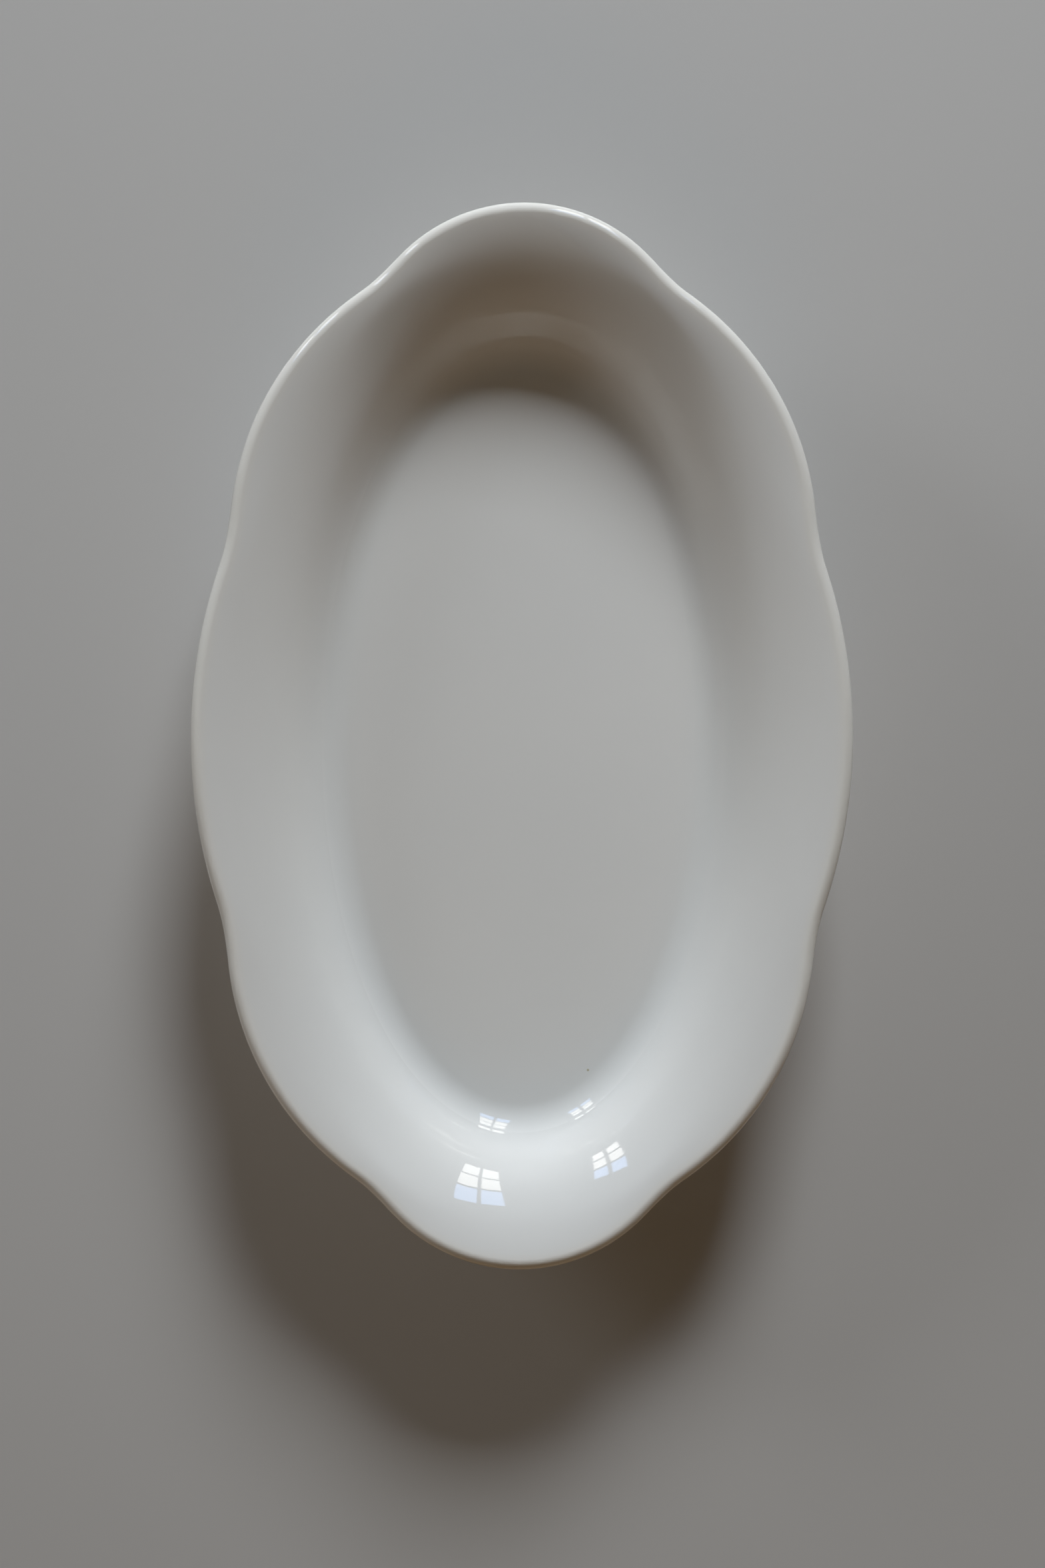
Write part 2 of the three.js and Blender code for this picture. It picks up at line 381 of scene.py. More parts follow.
@dataclass(frozen=True)
class Section:
    """The dish's section: its clay surface, as lines that each piece takes what it needs from.

    Attributes:
        sizes: the dish's sizes.
        detail: scale of the number of steps in each curve.
    """

    WALL_STEPS: ClassVar[int] = 48
    RIM_STEPS: ClassVar[int] = 22
    RIDGE_STEPS: ClassVar[int] = 6
    WELL_STEPS: ClassVar[int] = 18
    DISC_STEPS: ClassVar[int] = 12
    HEEL_STEPS: ClassVar[int] = 14
    FLANK_STEPS: ClassVar[int] = 6
    STANDING_STEPS: ClassVar[int] = 5
    ROUNDING_STEPS: ClassVar[int] = 8
    CORNER_STEPS: ClassVar[int] = 10
    BEAD_STEPS: ClassVar[int] = 6

    sizes: DishSizes
    detail: float = 1.0

    def steps(self, count: int) -> int:
        """A number of steps at this section's detail."""
        return max(2, round(count * self.detail))

    def wall(self, outside: float) -> Line:
        """One face of the wall, from the ridge up to the rolled rim.

        Args:
            outside: how far the face lies outside the wall's inner face.

        Returns:
            The face's line.
        """
        sizes = self.sizes
        start = self.wall_start()
        end = on_circle(self.roll_centre(), self.roll_radius(), sizes.rim_slope + 90)
        controls = [
            start,
            on_circle(start, sizes.wall_pull, sizes.wall_slope),
            on_circle(end, -sizes.flare_pull, sizes.rim_slope),
            end,
        ]
        points, along = bezier(controls, self.steps(self.WALL_STEPS))
        low, high = sizes.wall_run - sizes.lobe_reach, end[0]
        share = np.clip((points[:, 0] - low) / (high - low), 0, 1)
        lobing = share**2 * (3 - 2 * share)
        return Line.through(points + outside * np.stack([along[:, 1], -along[:, 0]], axis=1), lobing)

    def roll_radius(self) -> float:
        """The radius of the clay's rounded rim."""
        return self.sizes.wall_thickness / 2

    def roll_centre(self) -> np.ndarray:
        """The middle of the rounded rim."""
        glazed = self.roll_radius() + self.sizes.glaze
        return np.array([self.sizes.wall_run - glazed, self.sizes.height - glazed])

    def well_centre(self) -> np.ndarray:
        """The middle of the well's round."""
        return np.array([0, self.sizes.floor_level + self.sizes.well_radius])

    def ridge_centre(self) -> np.ndarray:
        """The middle of the ridge's round, which lies on the clay's side of it."""
        reach = self.sizes.well_radius + self.sizes.ridge_radius
        return on_circle(self.well_centre(), reach, self.sizes.well_slope - 90)

    def wall_start(self) -> np.ndarray:
        """Where the wall leaves the ridge."""
        return on_circle(self.ridge_centre(), self.sizes.ridge_radius, self.sizes.wall_slope + 90)

    def rim(self) -> Line:
        """The rounded edge from the outer to the inner face of the wall."""
        angles = self.sizes.rim_slope + np.linspace(-90, 90, self.steps(self.RIM_STEPS) + 1)
        return Line.through(on_circle(self.roll_centre(), self.roll_radius(), angles), 1.0)

    def ridge(self) -> Line:
        """The soft ridge from the wall down to the well."""
        slopes = np.linspace(self.sizes.wall_slope, self.sizes.well_slope, self.steps(self.RIDGE_STEPS) + 1)
        return Line.through(on_circle(self.ridge_centre(), self.sizes.ridge_radius, slopes + 90))

    def well(self) -> Line:
        """The well from the ridge down to the floor edge."""
        angles = np.linspace(self.sizes.well_slope, 0, self.steps(self.WELL_STEPS) + 1) - 90
        return Line.through(on_circle(self.well_centre(), self.sizes.well_radius, angles))

    def level_disc(self, edge: Sequence[float], outwards: bool) -> Line:
        """A level surface between the axis and an oval edge.

        Args:
            edge: the edge's run and level.
            outwards: whether the line goes out from the axis to the edge or the other way.

        Returns:
            The line.
        """
        shrink = np.linspace(0, 1, self.steps(self.DISC_STEPS) + 1)
        shrink = shrink if outwards else shrink[::-1]
        return Line.through(np.broadcast_to(np.asarray(edge, float), (len(shrink), 2)), shrink=shrink)

    def heel(self) -> Line:
        """The level shelf's end rounded into the outer wall."""
        sizes = self.sizes
        foot = self.wall(sizes.wall_thickness).part(slice(0, 1))
        wall_foot = np.array([foot.run[0], foot.level[0]])
        rise = wall_foot[1] - sizes.foot_height
        corner = (wall_foot[0] - rise / math.tan(math.radians(sizes.wall_slope)), sizes.foot_height)
        points, _ = bezier([self.shelf_end(), corner, wall_foot], self.steps(self.HEEL_STEPS))
        return Line.through(points)

    def shelf_end(self) -> tuple[float, float]:
        """The outer end of the level underside."""
        return self.sizes.foot_shelf - self.sizes.foot_inset, self.sizes.foot_height

    def on_flank(self, flank: Flank, level: float) -> np.ndarray:
        """The point of a flank of the foot ring at a level."""
        sizes = self.sizes
        half = sizes.foot_width / 2 - sizes.foot_taper * (sizes.foot_height - level) / sizes.foot_height
        return np.array([-sizes.foot_inset - sizes.foot_width / 2 + flank.value * half, level])

    def flank(self, flank: Flank, start: float, end: float) -> Line:
        """A stretch of one flank of the foot ring between two levels."""
        levels = np.linspace(start, end, self.steps(self.FLANK_STEPS) + 1)
        return Line.through(np.array([self.on_flank(flank, level) for level in levels]))

    def standing_corner(self, flank: Flank) -> Line:
        """The rounded corner of the standing edge, from the flank to the standing plane."""
        foot = self.on_flank(flank, 0)
        rounding = self.sizes.foot_rounding
        end = foot - (flank.value * rounding, 0)
        points, _ = bezier([self.on_flank(flank, rounding), foot, end], self.steps(self.ROUNDING_STEPS))
        return Line.through(points)

    def glazed_corner(self, flank: Flank) -> Line:
        """The filled corner between the underside and a flank, from the underside to the flank."""
        ease = self.sizes.foot_corner
        top = self.on_flank(flank, self.sizes.foot_height)
        start = top + (flank.value * ease, 0)
        end = self.on_flank(flank, self.sizes.foot_height - ease)
        points, _ = bezier([start, top, end], self.steps(self.CORNER_STEPS))
        return Line.through(points)

    def vessel(self) -> Line:
        """The vessel's surface, from the heel up the outside, over the rim and down to the floor."""
        floor_edge = (0.0, self.sizes.floor_level)
        return Line.chained(
            [
                self.heel(),
                self.wall(self.sizes.wall_thickness),
                self.rim(),
                self.wall(0).part(slice(None, None, -1)),
                self.ridge(),
                self.well(),
                self.level_disc(floor_edge, outwards=False),
            ]
        )


# Meshes


@dataclass(frozen=True)
class Rings:
    """Rings round the dish that make one closed mesh.

    Attributes:
        line: the section's line, with a point for each ring.
        masks: what is painted on each ring.
        joined: whether the last ring joins the first.
    """

    line: Line
    masks: Mapping[Mask, np.ndarray]
    joined: bool = False

    def mesh(self, name: str, outline: ScallopedOutline) -> bpy.types.Mesh:
        """Makes the mesh.

        Args:
            name: the mesh's name.
            outline: what carries the line round the dish.

        Returns:
            A smooth mesh with the masks as point attributes.
        """
        points = outline.carried_round(self.line)
        on_axis = self.line.shrink == 0
        corners: list[np.ndarray] = []
        index = np.zeros(points.shape[:2], int)
        count = 0
        for row, ring in enumerate(points):
            kept = ring[:1] if on_axis[row] else ring
            index[row] = count + np.arange(len(kept))
            corners.append(kept)
            count += len(kept)
        mesh = bpy.data.meshes.new(name)
        mesh.from_pydata(np.vstack(corners).tolist(), [], self.faces(index, on_axis))
        mesh.shade_smooth()
        sizes = [len(ring) for ring in corners]
        for mask, values in self.masks.items():
            painted = mesh.attributes.new(mask.value, "FLOAT", "POINT")
            painted.data.foreach_set("value", np.repeat(values, sizes).astype(np.float32))
        return mesh

    def faces(self, index: np.ndarray, on_axis: np.ndarray) -> list[list[int]]:
        """The faces between each ring and the next.

        Args:
            index: the vertex at each ring and turn.
            on_axis: which rings are one point on the axis.

        Returns:
            The vertices of each face.
        """
        rows = list(zip(range(len(index) - 1), range(1, len(index))))
        if self.joined:
            rows.append((len(index) - 1, 0))
        made: list[list[int]] = []
        for row, after in rows:
            here, there = index[row], index[after]
            next_here, next_there = np.roll(here, -1), np.roll(there, -1)
            if on_axis[row]:
                face = (here, next_there, there)
            elif on_axis[after]:
                face = (here, next_here, there)
            else:
                face = (here, next_here, next_there, there)
            made += np.stack(face, axis=1).tolist()
        return made


# Node trees


class Sheet:
    """Adds nodes to one node tree and links them."""

    def __init__(self, tree: bpy.types.NodeTree) -> None:
        """Keeps the tree."""
        self.tree = tree

    def node(
        self, kind: str, inputs: Optional[Mapping[Union[str, int], SocketValue]] = None, **settings: object
    ) -> bpy.types.Node:
        """Adds a node.

        Args:
            kind: the node's type.
            inputs: for each input by name or place, the output that feeds it or its value.
            settings: the node's own settings.

        Returns:
            The node.
        """
        made = self.tree.nodes.new(kind)
        for name, value in settings.items():
            setattr(made, name, value)
        for key, value in (inputs or {}).items():
            if isinstance(value, bpy.types.NodeSocket):
                self.tree.links.new(value, made.inputs[key])
            else:
                made.inputs[key].default_value = value
        return made

    def mixed(self, factor: SocketValue, first: SocketValue, second: SocketValue) -> bpy.types.NodeSocket:
        """The mix of two colours."""
        mix = self.node("ShaderNodeMix", {0: factor, 6: first, 7: second}, data_type="RGBA")
        return mix.outputs[2]

    def ranged(
        self, value: SocketValue, low: float, high: float, new_low: float, new_high: float
    ) -> bpy.types.NodeSocket:
        """A value carried from one range to another, and kept inside it."""
        inputs = {"Value": value, "From Min": low, "From Max": high, "To Min": new_low, "To Max": new_high}
        return self.node("ShaderNodeMapRange", inputs).outputs["Result"]

    def math(self, operation: str, first: SocketValue, second: SocketValue) -> bpy.types.NodeSocket:
        """The result of a sum of two values."""
        return self.node("ShaderNodeMath", {0: first, 1: second}, operation=operation).outputs[0]

    def distance(self, first: SocketValue, second: SocketValue) -> bpy.types.NodeSocket:
        """The distance between two places."""
        inputs = {0: first, 1: second}
        return self.node("ShaderNodeVectorMath", inputs, operation="DISTANCE").outputs["Value"]

    def noise(self, scale: SocketValue, detail: SocketValue, roughness: float) -> bpy.types.NodeSocket:
        """A random value that changes over the surface."""
        inputs = {"Vector": self.place(), "Scale": scale, "Detail": detail, "Roughness": roughness}
        return self.node("ShaderNodeTexNoise", inputs).outputs[0]

    def mask(self, mask: Mask) -> bpy.types.NodeSocket:
        """A mask that is painted on the mesh."""
        return self.node("ShaderNodeAttribute", attribute_name=mask.value).outputs["Fac"]

    def place(self) -> bpy.types.NodeSocket:
        """The place on the object, in metres."""
        return self.node("ShaderNodeTexCoord").outputs["Object"]

    def bumped(self, relief: bpy.types.NodeSocket, height: float) -> bpy.types.NodeSocket:
        """The normal of a surface with a relief."""
        inputs = {"Strength": 1.0, "Distance": height, "Height": relief}
        return self.node("ShaderNodeBump", inputs).outputs[0]

    def feed(self, shader: bpy.types.Node, values: Mapping[str, bpy.types.NodeSocket]) -> None:
        """Links values to a shader's inputs by name."""
        for name, value in values.items():
            self.tree.links.new(value, shader.inputs[name])

    def seen(self) -> bpy.types.NodeSocket:
        """Whether the camera sees the place, straight, mirrored or through glass."""
        rays = self.node("ShaderNodeLightPath").outputs
        seen = self.math("MAXIMUM", rays["Is Camera Ray"], rays["Is Glossy Ray"])
        return self.math("MAXIMUM", seen, rays["Is Transmission Ray"])

    def show(self, factor: SocketValue, first: bpy.types.Node, second: bpy.types.Node) -> None:
        """Sends the mix of two shaders to the tree's output."""
        mix = self.node("ShaderNodeMixShader", {0: factor, 1: first.outputs[0], 2: second.outputs[0]})
        self.tree.links.new(mix.outputs[0], self.tree.get_output_node("ALL").inputs["Surface"])


class Effect:
    """A shader node group: its sockets, and the sheet that its nodes are added to."""

    def __init__(self, name: str, inputs: Mapping[str, str], outputs: Mapping[str, str]) -> None:
        """Makes the group with its sockets.

        Args:
            name: the group's name.
            inputs: each input's name and socket type.
            outputs: each output's name and socket type.
        """
        self.tree = bpy.data.node_groups.new(name, "ShaderNodeTree")
        for direction, sockets in (("INPUT", inputs), ("OUTPUT", outputs)):
            for socket, kind in sockets.items():
                self.tree.interface.new_socket(socket, in_out=direction, socket_type=kind)
        self.sheet = Sheet(self.tree)
        self.inputs = self.sheet.node("NodeGroupInput").outputs
        self.result = self.sheet.node("NodeGroupOutput")

    def give(self, name: str, value: bpy.types.NodeSocket) -> None:
        """Sends a value to one of the group's outputs."""
        self.tree.links.new(value, self.result.inputs[name])

    def on(self, sheet: Sheet, **inputs: SocketValue) -> bpy.types.NodeOutputs:
        """Places the group on a material's sheet.

        Args:
            sheet: the material's sheet.
            inputs: the group's inputs by name.

        Returns:
            The placed group's outputs.
        """
        return sheet.node("ShaderNodeGroup", inputs, node_tree=self.tree).outputs


class Effects:
    """The node groups that the finishes share, each built once."""

    NUMBER: ClassVar[str] = "NodeSocketFloat"
    COLOUR: ClassVar[str] = "NodeSocketColor"
    CLOUD_DETAIL: ClassVar[float] = 3.0
    CLOUD_ROUGHNESS: ClassVar[float] = 0.55
    CLOUD_RANGE: ClassVar[tuple[float, float]] = (0.32, 0.68)
    SPECK_CORE: ClassVar[float] = 0.6
    RELIEF_ROUGHNESS: ClassVar[float] = 0.5

    def __init__(self) -> None:
        """Builds the groups."""
        self.clouds = self.build_clouds()
        self.specks = self.build_specks()
        self.relief = self.build_relief()

    def cloudy(self, sheet: Sheet, colour: Colour, gain: Colour, scale: float) -> bpy.types.NodeOutputs:
        """A colour that drifts over the surface into one whose channels are scaled."""
        first, second = with_alpha(colour), with_alpha(toned(colour, gain))
        return self.clouds.on(sheet, First=first, Second=second, Scale=scale)

    def build_clouds(self) -> Effect:
        """Two tones that drift into each other over the surface."""
        effect = Effect(
            "cloudy_tone",
            {"First": self.COLOUR, "Second": self.COLOUR, "Scale": self.NUMBER},
            {"Colour": self.COLOUR, "Drift": self.NUMBER},
        )
        sheet, inputs = effect.sheet, effect.inputs
        noise = sheet.noise(inputs["Scale"], self.CLOUD_DETAIL, self.CLOUD_ROUGHNESS)
        drift = sheet.ranged(noise, *self.CLOUD_RANGE, 0.0, 1.0)
        effect.give("Colour", sheet.mixed(drift, inputs["First"], inputs["Second"]))
        effect.give("Drift", drift)
        return effect

    def build_specks(self) -> Effect:
        """Round specks, in some of the cells that fill the space."""
        effect = Effect(
            "sparse_specks",
            {"Scale": self.NUMBER, "Size": self.NUMBER, "Share": self.NUMBER},
            {"Speck": self.NUMBER},
        )
        sheet, inputs = effect.sheet, effect.inputs
        cells = sheet.node("ShaderNodeTexVoronoi", {"Vector": sheet.place(), "Scale": inputs["Scale"]})
        nearness = sheet.math("DIVIDE", cells.outputs["Distance"], inputs["Size"])
        spot = sheet.ranged(nearness, self.SPECK_CORE, 1.0, 1.0, 0.0)
        draw = sheet.node("ShaderNodeSeparateColor", {"Color": cells.outputs["Color"]})
        chosen = sheet.math("LESS_THAN", draw.outputs[0], inputs["Share"])
        effect.give("Speck", sheet.math("MULTIPLY", spot, chosen))
        return effect

    def build_relief(self) -> Effect:
        """A random relief of the surface."""
        effect = Effect(
            "fine_relief", {"Scale": self.NUMBER, "Detail": self.NUMBER}, {"Height": self.NUMBER}
        )
        inputs = effect.inputs
        effect.give("Height", effect.sheet.noise(inputs["Scale"], inputs["Detail"], self.RELIEF_ROUGHNESS))
        return effect


# Finishes


def with_alpha(colour: Colour) -> tuple[float, float, float, float]:
    """A colour as a colour socket takes it."""
    return (*colour, 1.0)


def slot_colour(slot: Slot) -> Colour:
    """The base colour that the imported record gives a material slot."""
    found = next(entry for entry in frame["record"]["materials"] if entry["slot"] == slot.value)
    return tuple(found["base_color"])


def toned(colour: Colour, gain: Colour) -> Colour:
    """A colour with each channel scaled."""
    return tuple(value * scale for value, scale in zip(colour, gain))


def new_material(name: str) -> tuple[bpy.types.Material, Sheet, bpy.types.Node]:
    """A material with a Principled shader.

    Args:
        name: the material's name.

    Returns:
        The material, the sheet of its nodes and its shader.
    """
    material = bpy.data.materials.new(name)
    material.use_nodes = True
    material.node_tree.nodes.clear()
    sheet = Sheet(material.node_tree)
    shader = sheet.node("ShaderNodeBsdfPrincipled")
    sheet.node("ShaderNodeOutputMaterial", {"Surface": shader.outputs[0]})
    return material, sheet, shader


@dataclass(frozen=True)
class GlazeFinish:
    """Glossy white glaze: faintly cloudy, cooler where it pools and warmer where it runs thin.

    It has one faint brown speck, at the floor's edge.
    """

    slot: Slot = Slot.WHITE_GLAZE
    cloud_gain: Colour = (0.975, 0.98, 0.985)
    pooled_gain: Colour = (0.945, 0.965, 0.975)
    thinned_gain: Colour = (1.01, 0.99, 0.955)
    speck_gain: Colour = (0.62, 0.56, 0.38)
    speck_place: tuple[float, float, float] = (18.7 * MM, -90.8 * MM, 9.4 * MM)
    speck_radius: float = 0.4 * MM
    speck_core: float = 0.2 * MM
    cloud_scale: float = 16.0
    gloss_low: float = 0.02
    gloss_high: float = 0.05
    refraction: float = 1.52
    ripple_scale: float = 55.0
    ripple_detail: float = 2.0
    ripple_height: float = 0.035 * MM

    def material(self, effects: Effects) -> bpy.types.Material:
        """Makes the material.

        Args:
            effects: the shared node groups.

        Returns:
            The material.
        """
        material, sheet, shader = new_material(self.slot.value)
        white = slot_colour(self.slot)
        clouds = effects.cloudy(sheet, white, self.cloud_gain, self.cloud_scale)
        colour = clouds["Colour"]
        for mask, gain in ((Mask.POOLED, self.pooled_gain), (Mask.THINNED, self.thinned_gain)):
            colour = sheet.mixed(sheet.mask(mask), colour, with_alpha(toned(white, gain)))
        away = sheet.distance(sheet.place(), self.speck_place)
        speck = sheet.ranged(away, self.speck_core, self.speck_radius, 1.0, 0.0)
        colour = sheet.mixed(speck, colour, with_alpha(toned(white, self.speck_gain)))
        gloss = sheet.ranged(clouds["Drift"], 0.0, 1.0, self.gloss_low, self.gloss_high)
        relief = effects.relief.on(sheet, Scale=self.ripple_scale, Detail=self.ripple_detail)
        normal = sheet.bumped(relief["Height"], self.ripple_height)
        sheet.feed(shader, {"Base Color": colour, "Roughness": gloss, "Normal": normal})
        shader.inputs["IOR"].default_value = self.refraction
        return material


@dataclass(frozen=True)
class ClayFinish:
    """Bare fired clay: matt, grainy and flecked, and soiled where it rubs on the table."""

    slot: Slot
    cloud_gain: Colour = (0.93, 0.92, 0.90)
    soil_colour: Colour = (0.30, 0.26, 0.21)
    soil_least: float = 0.2
    soil_most: float = 0.75
    fleck_colour: Colour = (0.34, 0.24, 0.15)
    cloud_scale: float = 180.0
    fleck_scale: float = 420.0
    fleck_size: float = 0.16
    fleck_share: float = 0.25
    roughness_low: float = 0.8
    roughness_high: float = 0.95
    grain_scale: float = 1400.0
    grain_detail: float = 5.0
    grain_height: float = 0.15 * MM

    def material(self, effects: Effects) -> bpy.types.Material:
        """Makes the material.

        Args:
            effects: the shared node groups.

        Returns:
            The material.
        """
        material, sheet, shader = new_material(self.slot.value)
        clay = slot_colour(self.slot)
        clouds = effects.cloudy(sheet, clay, self.cloud_gain, self.cloud_scale)
        flecks = effects.specks.on(
            sheet, Scale=self.fleck_scale, Size=self.fleck_size, Share=self.fleck_share
        )
        colour = sheet.mixed(flecks["Speck"], clouds["Colour"], with_alpha(self.fleck_colour))
        patchy = sheet.ranged(clouds["Drift"], 0.0, 1.0, self.soil_least, self.soil_most)
        soil = sheet.math("MULTIPLY", sheet.mask(Mask.SOILED), patchy)
        colour = sheet.mixed(soil, colour, with_alpha(self.soil_colour))
        dry = sheet.ranged(clouds["Drift"], 0.0, 1.0, self.roughness_low, self.roughness_high)
        relief = effects.relief.on(sheet, Scale=self.grain_scale, Detail=self.grain_detail)
        normal = sheet.bumped(relief["Height"], self.grain_height)
        sheet.feed(shader, {"Base Color": colour, "Roughness": dry, "Normal": normal})
        return material


# Pieces


@dataclass
class DishPiece:
    """One piece of the dish, which takes the place of its CAD node.

    Attributes:
        sizes: the dish's sizes.
        outline: what carries its section round the dish.
        section: the section's lines that show.
        hidden: the same lines with fewer steps, for faces that lie inside the dish.
    """

    node: ClassVar[str]
    slot: ClassVar[Slot]
    EVENED: ClassVar[float] = 1.2 * MM
    POOLING_BEND: ClassVar[float] = 1 / (6 * MM)
    THINNING_BEND: ClassVar[float] = 1 / (3 * MM)

    sizes: DishSizes
    outline: ScallopedOutline
    section: Section
    hidden: Section

    def rings(self) -> Rings:
        """The rings of the piece's mesh."""
        raise NotImplementedError

    def build(self) -> bpy.types.Object:
        """Makes the piece and sets it in the frame."""
        name = f"{self.node}_shape"
        piece = bpy.data.objects.new(name, self.rings().mesh(name, self.outline))
        bpy.context.scene.collection.objects.link(piece)
        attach(piece, ROOT_BODY)
        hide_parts(self.node)
        return piece

    def dress(self, piece: bpy.types.Object, materials: Mapping[Slot, bpy.types.Material]) -> None:
        """Gives the piece the material of its slot."""
        piece.data.materials.append(materials[self.slot])

    def coat_masks(self, outside: Line, hidden_rings: int, edge_first: bool) -> dict[Mask, np.ndarray]:
        """What a coat of glaze shows: where it pools in hollows and runs thin over edges.

        Args:
            outside: the coat's outer line.
            hidden_rings: the number of rings on its hidden face and free edge.
            edge_first: whether those come before the outer line.

        Returns:
            The masks over all its rings.
        """
        bend = outside.bend(self.EVENED, self.sizes.floor_half_width)
        plain = np.zeros(hidden_rings)
        masks = {
            Mask.POOLED: np.clip(-bend / self.POOLING_BEND, 0, 1),
            Mask.THINNED: np.clip(bend / self.THINNING_BEND, 0, 1),
        }
        return {
            mask: np.concatenate([plain, values] if edge_first else [values, plain])
            for mask, values in masks.items()
        }

    def bead(self, clay: Line, glaze: Line, edge: int) -> Line:
        """The rounded free edge of a coat of glaze.

        Args:
            clay: the coat's face on the clay.
            glaze: its outer face.
            edge: the row of both lines at which the coat ends, 0 or -1.

        Returns:
            The edge's line, from the first face to the second.
        """
        first, second = (clay, glaze) if edge == 0 else (glaze, clay)
        start, end = (np.array([line.run[edge], line.level[edge]]) for line in (first, second))
        back = 1 if edge == 0 else -2
        away = start - np.array([first.run[back], first.level[back]])
        away *= self.sizes.glaze_bead / np.linalg.norm(away)
        angles = np.linspace(0, math.pi, self.section.steps(Section.BEAD_STEPS) + 1)[1:-1, None]
        across = (1 - np.cos(angles)) / 2
        return Line.through(start + (end - start) * across + away * np.sin(angles))


@dataclass
class ClayBody(DishPiece):
    """The clay vessel, which lies under the glaze."""

    node: ClassVar[str] = "clay_body"
    slot: ClassVar[Slot] = Slot.FIRED_CLAY

    def rings(self) -> Rings:
        """The vessel's surface and its level underside."""
        underside = self.hidden.level_disc(self.hidden.shelf_end(), outwards=True)
        line = Line.chained([underside, self.hidden.vessel()])
        return Rings(line, {Mask.SOILED: np.zeros(len(line.run))})


@dataclass
class FootRing(DishPiece):
    """The clay ring under the floor, bare along its standing edge."""

    node: ClassVar[str] = "foot_ring"
    slot: ClassVar[Slot] = Slot.BARE_FOOT

    def rings(self) -> Rings:
        """The ring's flanks and rounded standing edge."""
        section, top, low = self.section, self.sizes.foot_height, self.sizes.foot_rounding
        line = Line.chained(
            [
                section.flank(Flank.INNER, top, low),
                section.standing_corner(Flank.INNER),
                self.standing_face(),
                section.standing_corner(Flank.OUTER).part(slice(None, None, -1)),
                section.flank(Flank.OUTER, low, top),
            ]
        )
        soiled = np.clip(1 - line.level / self.sizes.bare_band, 0, 1)
        return Rings(line, {Mask.SOILED: soiled}, joined=True)

    def standing_face(self) -> Line:
        """The level face that the dish stands on."""
        ends = [self.section.standing_corner(flank) for flank in (Flank.INNER, Flank.OUTER)]
        steps = self.section.steps(Section.STANDING_STEPS)
        runs = np.linspace(ends[0].run[-1], ends[1].run[-1], steps + 1)
        return Line.through(np.stack([runs, np.zeros(len(runs))], axis=1))


@dataclass
class GlazeCoat(DishPiece):
    """The coat of glaze over the inside, the rim and the outside, down to the foot ring's flank."""

    node: ClassVar[str] = "glaze_coat"
    slot: ClassVar[Slot] = Slot.WHITE_GLAZE

    def face(self, section: Section) -> Line:
        """The coat's face on the clay, from its free edge on the foot ring to the floor's middle."""
        corner = section.glazed_corner(Flank.OUTER).part(slice(None, None, -1))
        shelf = Line.through(np.array([(corner.run[-1], corner.level[-1]), section.shelf_end()]))
        flank = section.flank(Flank.OUTER, self.sizes.bare_band, corner.level[0])
        return Line.chained([flank, corner, shelf, section.vessel()])

    def rings(self) -> Rings:
        """The face on the clay, the free edge and the outer face."""
        clay, shown = self.face(self.hidden), self.face(self.section)
        outside = shown.coated(self.sizes.glaze, self.sizes.floor_half_width)
        edge = self.bead(clay, outside, 0)
        line = Line.stacked([clay.part(slice(None, None, -1)), edge, outside])
        return Rings(line, self.coat_masks(outside, len(clay.run) + len(edge.run), edge_first=True))


@dataclass
class UndersideGlaze(DishPiece):
    """The patch of glaze inside the foot ring."""

    node: ClassVar[str] = "underside_glaze"
    slot: ClassVar[Slot] = Slot.WHITE_GLAZE

    def face(self, section: Section) -> Line:
        """The patch's face on the clay, from the middle of the underside to its free edge."""
        corner = section.glazed_corner(Flank.INNER)
        disc = section.level_disc((corner.run[0], corner.level[0]), outwards=True)
        flank = section.flank(Flank.INNER, corner.level[-1], self.sizes.bare_band)
        return Line.chained([disc, corner, flank])

    def rings(self) -> Rings:
        """The outer face, the free edge and the face on the clay."""
        clay, shown = self.face(self.hidden), self.face(self.section)
        outside = shown.coated(self.sizes.glaze, self.sizes.floor_half_width)
        edge = self.bead(clay, outside, -1)
        line = Line.stacked([outside, edge, clay.part(slice(None, None, -1))])
        return Rings(line, self.coat_masks(outside, len(clay.run) + len(edge.run), edge_first=False))


# Stage


